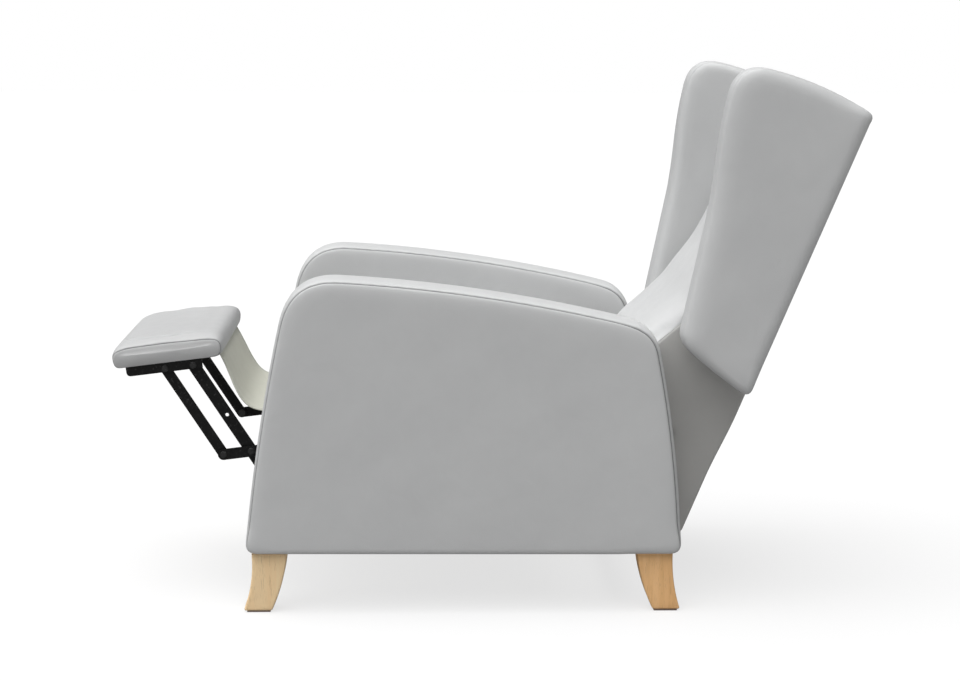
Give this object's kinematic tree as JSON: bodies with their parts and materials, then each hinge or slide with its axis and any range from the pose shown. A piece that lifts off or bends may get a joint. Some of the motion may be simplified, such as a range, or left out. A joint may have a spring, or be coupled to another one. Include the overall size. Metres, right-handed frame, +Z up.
{
  "type": "wingback recliner",
  "caption": "Padded wingback recliner with wooden legs, slab arms, a back that reclines and a footrest that folds on steel links.",
  "frame": {"origin": "on the floor, under the middle of the chair's box in the reclined pose", "axes": "+Z up, the sitter faces -Y, +X to the sitter's left"},
  "size_m": [0.7392, 1.4383, 1.0199],
  "materials": {
    "upholstery": "soft satin, fine grain",
    "flap_cloth": "soft satin",
    "leg_wood": "clear satin lacquer over pale beech",
    "frame_wood": "bare sawn timber and plywood",
    "black_steel": "black powder coat",
    "pin_steel": "zinc plated",
    "glide": "matt",
    "webbing": "woven elastic"
  },
  "bodies": {
    "base": {"arm_left_cover": "upholstery", "arm_right_cover": "upholstery", "arm_left_panel": "frame_wood", "arm_right_panel": "frame_wood", "arm_left_sill": "frame_wood", "arm_right_sill": "frame_wood", "front_left_leg": "leg_wood", "front_right_leg": "leg_wood", "rear_left_leg": "leg_wood", "rear_right_leg": "leg_wood", "foot_glides": "glide", "leg_bolts": "pin_steel", "front_cross_rail": "frame_wood", "rear_cross_rail": "frame_wood", "base_plate_left": "black_steel", "base_plate_right": "black_steel", "swing_base_pins": "pin_steel"},
    "front_swing": {"front_swing_link_left": "black_steel", "front_swing_link_right": "black_steel"},
    "rear_swing": {"rear_swing_link_left": "black_steel", "rear_swing_link_right": "black_steel"},
    "carriage": {"side_plate_left": "black_steel", "side_plate_right": "black_steel", "seat_rail_left": "frame_wood", "seat_rail_right": "frame_wood", "seat_cross_rails": "frame_wood", "seat_springs": "pin_steel", "seat_cushion": "upholstery", "carriage_pins": "pin_steel", "footrest_flap": "flap_cloth"},
    "backrest": {"back_post_left": "frame_wood", "back_post_right": "frame_wood", "back_rails": "frame_wood", "back_webbing": "webbing", "back_cushion": "upholstery", "back_rear_cover": "upholstery", "wing_left_cover": "upholstery", "wing_right_cover": "upholstery", "wing_left_board": "frame_wood", "wing_right_board": "frame_wood", "back_bracket_left": "black_steel", "back_bracket_right": "black_steel", "hinge_pins": "pin_steel"},
    "front_links": {"torque_tube": "black_steel", "front_link_left": "black_steel", "front_link_right": "black_steel", "link_pins": "pin_steel"},
    "rear_links": {"rear_link_left": "black_steel", "rear_link_right": "black_steel", "tail_pins": "pin_steel"},
    "lift_links": {"lift_link_left": "black_steel", "lift_link_right": "black_steel"},
    "stay_links": {"stay_link_left": "black_steel", "stay_link_right": "black_steel"},
    "footrest": {"footrest_bracket_left": "black_steel", "footrest_bracket_right": "black_steel", "bracket_pins": "pin_steel", "footrest_board": "frame_wood", "footrest_pad": "upholstery"}
  },
  "joints": [
    {"name": "recline_swing", "type": "hinge", "parent": "base", "child": "front_swing", "pos_m": [0, -0.132, 0.165], "axis": [1, 0, 0], "range_deg": [-41.2, 0]},
    {"name": "carriage_level", "type": "hinge", "parent": "front_swing", "child": "carriage", "pos_m": [0, -0.16191, 0.24457], "axis": [1, 0, 0], "range_deg": [0, 41.2]},
    {"name": "rear_swing_turn", "type": "hinge", "parent": "base", "child": "rear_swing", "pos_m": [0, 0.188, 0.165], "axis": [1, 0, 0], "range_deg": [-41.2, 0]},
    {"name": "back_recline", "type": "hinge", "parent": "carriage", "child": "backrest", "pos_m": [0, 0.318, 0.3], "axis": [1, 0, 0], "range_deg": [0, 20]},
    {"name": "footrest_fold", "type": "hinge", "parent": "carriage", "child": "front_links", "pos_m": [0, -0.319, 0.302], "axis": [1, 0, 0], "range_deg": [0, 83], "deforming": ["footrest_flap"]},
    {"name": "rear_link_turn", "type": "hinge", "parent": "carriage", "child": "rear_links", "pos_m": [0, -0.29415, 0.26388], "axis": [1, 0, 0], "range_deg": [0, 83]},
    {"name": "lift_link_turn", "type": "hinge", "parent": "front_links", "child": "lift_links", "pos_m": [0, -0.44801, 0.286], "axis": [1, 0, 0], "range_deg": [-83, 0]},
    {"name": "stay_link_turn", "type": "hinge", "parent": "front_links", "child": "stay_links", "pos_m": [0, -0.5016, 0.27935], "axis": [1, 0, 0], "range_deg": [-83, 0]},
    {"name": "footrest_turn", "type": "hinge", "parent": "lift_links", "child": "footrest", "pos_m": [0, -0.5574, 0.45379], "axis": [1, 0, 0], "range_deg": [0, 83]}
  ],
  "couplings": [
    {"joint": "carriage_level", "follows": "recline_swing", "ratio": -1},
    {"joint": "rear_swing_turn", "follows": "recline_swing", "ratio": 1},
    {"joint": "back_recline", "follows": "recline_swing", "ratio": -0.48544},
    {"joint": "rear_link_turn", "follows": "footrest_fold", "ratio": 1},
    {"joint": "lift_link_turn", "follows": "footrest_fold", "ratio": -1},
    {"joint": "stay_link_turn", "follows": "footrest_fold", "ratio": -1},
    {"joint": "footrest_turn", "follows": "footrest_fold", "ratio": 1}
  ]
}
